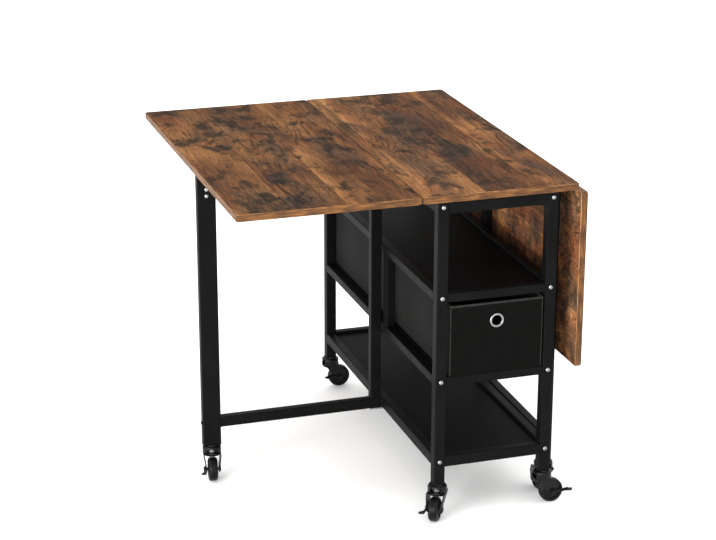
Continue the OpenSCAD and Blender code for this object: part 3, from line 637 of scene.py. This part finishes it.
# A button-head bolt with a hexagon socket: its head's flat side is on z = 0, the dome above and the shank below
def boltInto(shape, place, radius, length):
    look = boltLook
    angles = [2 * math.pi * k / look["segments"] for k in range(look["segments"])]
    shank = radius * look["shankShare"]

    def disc(r, z):
        return [place @ Vector((r * math.cos(a), r * math.sin(a), z)) for a in angles]

    def hexagon(z):
        radii = [look["socket"] / math.cos((a % (math.pi / 3)) - math.pi / 6) for a in angles]
        return [place @ Vector((r * math.cos(a), r * math.sin(a), z)) for a, r in zip(angles, radii)]

    start = look["pointHigh"] - length
    rings = [disc(shank * 0.8, -length), disc(shank, start)]
    turns = int(length * look["threadShare"] / look["threadPitch"])
    for k in range(1, turns):
        z = start + k * look["threadPitch"]
        rings += [disc(shank * (1 - look["threadDeep"]), z - look["threadPitch"] / 2), disc(shank, z)]
    rings += [disc(shank, 0), disc(radius, 0)]
    for up in look["domeAngles"]:
        rings.append(disc(radius * math.cos(math.radians(up)), look["headHigh"] * math.sin(math.radians(up))))
    top = look["headHigh"] * 0.95
    rings += [disc(look["socket"] * 1.22, top), hexagon(top - 0.15 * mm), hexagon(top - look["socketDeep"])]
    made = skin(shape, rings)
    shape.faces.new(made[0])
    shape.faces.new(made[-1])


# Places a bolt in the box of its CAD solid, its head towards the given side
def boltInBox(shape, box, outwards, move=Matrix()):
    low, high = box
    axis = max(range(3), key=lambda i: abs(outwards[i]))
    other = (axis + 1) % 3
    radius = (high[other] - low[other]) / 2
    at = (low + high) / 2
    at[axis] = (high[axis] - boltLook["headHigh"]) if outwards[axis] > 0 else (low[axis] + boltLook["headHigh"])
    turn = Vector(outwards).to_track_quat("Z", "X").to_matrix().to_4x4()
    boltInto(shape, move @ Matrix.Translation(at) @ turn, radius, high[axis] - low[axis] - boltLook["headHigh"])


def jointPlace(name):
    return Vector(next(j for j in frame["joints"] if j["name"] == name)["pos_m"])


shape = bmesh.new()
for box in solidBoxes("frame_bolts"):
    boltInBox(shape, box, (0, -1 if box[0].y < 0 else 1, 0))
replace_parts(addPiece("frameBolts", shape, ["zinc"], "frame", None), "frame_bolts")

# The right gate is the left one turned about its own pivot, so its bolts are the left ones moved
leftPivot, rightPivot = jointPlace("left_gate_hinge"), jointPlace("right_gate_hinge")
leftReach = jointPlace("left_gate_castor_swivel") - leftPivot
rightReach = jointPlace("right_gate_castor_swivel") - rightPivot
leftPivot.z = rightPivot.z = 0
swing = math.atan2(rightReach.y, rightReach.x) - math.atan2(leftReach.y, leftReach.x)
toRight = Matrix.Translation(rightPivot) @ Matrix.Rotation(swing, 4, "Z") @ Matrix.Translation(-leftPivot)
for side, move in (("left", Matrix()), ("right", toRight)):
    shape = bmesh.new()
    for box in solidBoxes("left_gate_bolts"):
        size = box[1] - box[0]
        boltInBox(shape, box, (-1, 0, 0) if size.x > size.y else (0, -1, 0), move)
    for face in shape.faces:  # the low bolt is blacked, the two under the leaf are plain zinc
        face.material_index = 1 if face.calc_center_median().z < 0.3 else 0
    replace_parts(addPiece(side + "GateBolts", shape, ["zinc", "tube"], side + "_gate", None),
        side + "_gate_bolts")
print("bolts ready")

screwLook = {
    "radius": 3.6 * mm,
    "height": 1.0 * mm,
    "slot": 1.7 * mm,
    "segments": 16,
    "fromEdge": 7 * mm,
    "knuckleRoom": 3 * mm,
    "plate": 2 * mm,
}


# Pan-head screws with a cross recess, two rows on each hinge plate
def screwInto(shape, place):
    look = screwLook
    angles = [2 * math.pi * k / look["segments"] for k in range(look["segments"])]

    def star(r, z, pinch):
        return [place @ Vector((r * (1 - pinch * abs(math.sin(2 * a))) * math.cos(a),
            r * (1 - pinch * abs(math.sin(2 * a))) * math.sin(a), z)) for a in angles]

    radius, slot, high = look["radius"], look["slot"], look["height"]
    made = skin(shape, [star(radius, 0, 0), star(radius, high * 0.35, 0), star(radius * 0.8, high * 0.85, 0),
        star(slot * 1.1, high, 0), star(slot, high * 0.97, 0.45), star(slot * 0.7, high * 0.2, 0.5)])
    shape.faces.new(made[0])
    shape.faces.new(made[-1])


def plateScrews(shape, box, knuckleSide, move=Matrix()):
    low, high = box
    edge = screwLook["fromEdge"]
    knuckle = edge + screwLook["knuckleRoom"]
    xs = (low.x + edge, high.x - knuckle) if knuckleSide > 0 else (low.x + knuckle, high.x - edge)
    for x in xs:
        for y in (low.y + edge, high.y - edge):
            under = Vector((x, y, high.z - screwLook["plate"]))
            screwInto(shape, move @ Matrix.Translation(under) @ Matrix.Rotation(math.pi, 4, "X"))


leftPin, rightPin = jointPlace("left_leaf_hinge"), jointPlace("right_leaf_hinge")
toHanging = (Matrix.Translation(rightPin) @ Matrix.Rotation(math.pi, 4, "Z") @ Matrix.Rotation(-math.pi / 2, 4, "Y")
    @ Matrix.Translation(-leftPin))
shape = bmesh.new()
for box in solidBoxes("fixed_hinge_plates"):
    plateScrews(shape, box, -1 if box[0].x < frameX else 1)
addPiece("fixedHingeScrews", shape, ["zinc"], "frame", None)
for side, move in (("left", Matrix()), ("right", toHanging)):
    shape = bmesh.new()
    for box in solidBoxes("left_leaf_hinge_plates"):
        plateScrews(shape, box, 1, move)
    addPiece(side + "LeafHingeScrews", shape, ["zinc"], side + "_leaf", None)
print("hinge screws ready")

wheelLook = {
    "segments": 80,
    "shoulderShare": 0.25,
    "groove": 0.45 * mm,
    "rimLip": 1.2 * mm,
    "recess": 2.5 * mm,
    "ribs": 5,
    "ribHigh": 1.8 * mm,
    "hubWall": 3.6 * mm,
}


# A moulded castor wheel: grooved tread, round shoulders, and ribs from the rim to the hub in both recessed sides
def addWheel(node):
    look = wheelLook
    joint = next(j for j in frame["joints"] if j["name"] == node.replace("wheel", "roll"))
    turn = Vector(joint["axis"]).to_track_quat("Z", "X").to_matrix().to_4x4()
    place = Matrix.Translation(joint["pos_m"]) @ turn
    solid = place.inverted() @ nodes[node].matrix_world
    points = [solid @ v.co for v in nodes[node].data.vertices]
    radii = [p.xy.length for p in points]
    tyre, bore, half = max(radii), min(radii), max(p.z for p in points)
    shoulder = tyre * look["shoulderShare"]
    rim, hub, floorZ = tyre - shoulder, bore + look["hubWall"], half - look["recess"]
    low = tyre - look["groove"]
    # Radius, distance from the wheel's middle, and how much of the rib's height stands there
    side = [(low, 0.5 * mm, 0), (tyre, 0.9 * mm, 0), (tyre, 2.3 * mm, 0), (low, 2.6 * mm, 0), (low, 3.1 * mm, 0),
        (tyre, 3.4 * mm, 0)]
    for k in range(7):
        angle = math.radians(15 * k)
        side.append((rim + shoulder * math.cos(angle), half - shoulder + shoulder * math.sin(angle), 0))
    inner = rim - look["rimLip"]
    side += [(inner, half, 0), (inner - 0.4 * mm, half - 0.5 * mm, 0), (inner - 0.5 * mm, floorZ, 1),
        ((inner + hub) / 2, floorZ, 1), (hub + 0.4 * mm, floorZ, 1), (hub, half - 0.4 * mm, 0),
        (hub - 0.4 * mm, half, 0), (bore + 0.6 * mm, half, 0), (bore, half - 0.5 * mm, 0)]
    profile = [(r, -z, rib) for r, z, rib in reversed(side)] + side
    rings = []
    for r, z, rib in profile:
        ring = []
        for k in range(look["segments"]):
            angle = 2 * math.pi * k / look["segments"]
            rise = min(1, max(0, (math.cos(look["ribs"] * angle) - 0.72) / 0.14)) * rib * look["ribHigh"]
            ring.append(Vector((r * math.cos(angle), r * math.sin(angle), z + math.copysign(rise, z))))
        rings.append(ring)
    shape = bmesh.new()
    skin(shape, rings, closed=True)
    words = node.split("_")
    name = words[0] + "".join(word.capitalize() for word in words[1:])
    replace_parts(addPiece(name, shape, ["wheel"], node, place), node)


for name in list(nodes):
    if name.endswith("castor_wheel"):
        addWheel(name)
print("wheels ready")

stageLook = {"floor": "#f8f8f7", "floorReach": 26, "world": "#ffffff", "worldLow": 0.95, "worldHigh": 2.15}

floorMesh = bpy.data.meshes.new("studioFloor")
reach = stageLook["floorReach"]
floorMesh.from_pydata([(-reach, -reach, 0), (reach, -reach, 0), (reach, reach, 0), (-reach, reach, 0)], [],
    [(0, 1, 2, 3)])
floor = bpy.data.objects.new("studioFloor", floorMesh)
bpy.context.scene.collection.objects.link(floor)
floorMaterial, tree, surface, place = newMaterial("paintedStudioFloor", Roughness=0.8)
surface.inputs["Base Color"].default_value = linear(stageLook["floor"])
floorMesh.materials.append(floorMaterial)

# A white studio lit from overhead and dim towards its walls, so the black steel has no wash of light on it
world = bpy.data.worlds.new("studio")
world.use_nodes = True
tree = world.node_tree
background = tree.nodes["Background"]
background.inputs["Color"].default_value = linear(stageLook["world"])
towards = addNode(tree, "ShaderNodeTexCoord")
way = addNode(tree, "ShaderNodeSeparateXYZ", links={"Vector": towards.outputs["Generated"]})
strength = addNode(tree, "ShaderNodeMapRange",
    {"From Min": 0.1, "From Max": 0.9, "To Min": stageLook["worldLow"], "To Max": stageLook["worldHigh"]},
    {"Value": way.outputs["Z"]})
tree.links.new(strength.outputs[0], background.inputs["Strength"])
bpy.context.scene.world = world

lights = [
    {"name": "keyLeft", "at": (-3.8, -2.9, 0.9), "size": 2.4, "power": 300},
    {"name": "frontFill", "at": (-1.6, -4.8, 1.5), "size": 1.6, "power": 66},
]
for spec in lights:
    data = bpy.data.lights.new(spec["name"], "AREA")
    data.size = spec["size"]
    data.energy = spec["power"]
    lamp = bpy.data.objects.new(spec["name"], data)
    lamp.location = spec["at"]
    aim = Vector((frameX - 0.2, 0, 0.45)) - lamp.location
    lamp.rotation_euler = aim.to_track_quat("-Z", "Y").to_euler()
    bpy.context.scene.collection.objects.link(lamp)

cameraLook = {
    "fromFrame": (-1.5657, -4.2829, 2.0081),  # from the middle of the steel frame, at floor level
    "pitch": -20.311,
    "yaw": 17.896,
    "roll": -0.117,
    "focalPixels": 2064,
    "centrePixels": (358.3, 314.4),
}
photoWidth, photoHeight = 716, 540
cameraData = bpy.data.cameras.new("photoCamera")
cameraData.sensor_width = 36
cameraData.lens = 36 * cameraLook["focalPixels"] / photoWidth
cameraData.shift_x = (photoWidth / 2 - cameraLook["centrePixels"][0]) / photoWidth
cameraData.shift_y = (cameraLook["centrePixels"][1] - photoHeight / 2) / photoWidth
cameraData.clip_end = 100
camera = bpy.data.objects.new("photoCamera", cameraData)
x, y, z = cameraLook["fromFrame"]
camera.location = (frameX + x, y, z)
camera.rotation_euler = (math.radians(90 + cameraLook["pitch"]), math.radians(cameraLook["roll"]),
    math.radians(-cameraLook["yaw"]))
bpy.context.scene.collection.objects.link(camera)
bpy.context.scene.camera = camera
bpy.context.scene.view_settings.view_transform = "Standard"
print("stage ready")
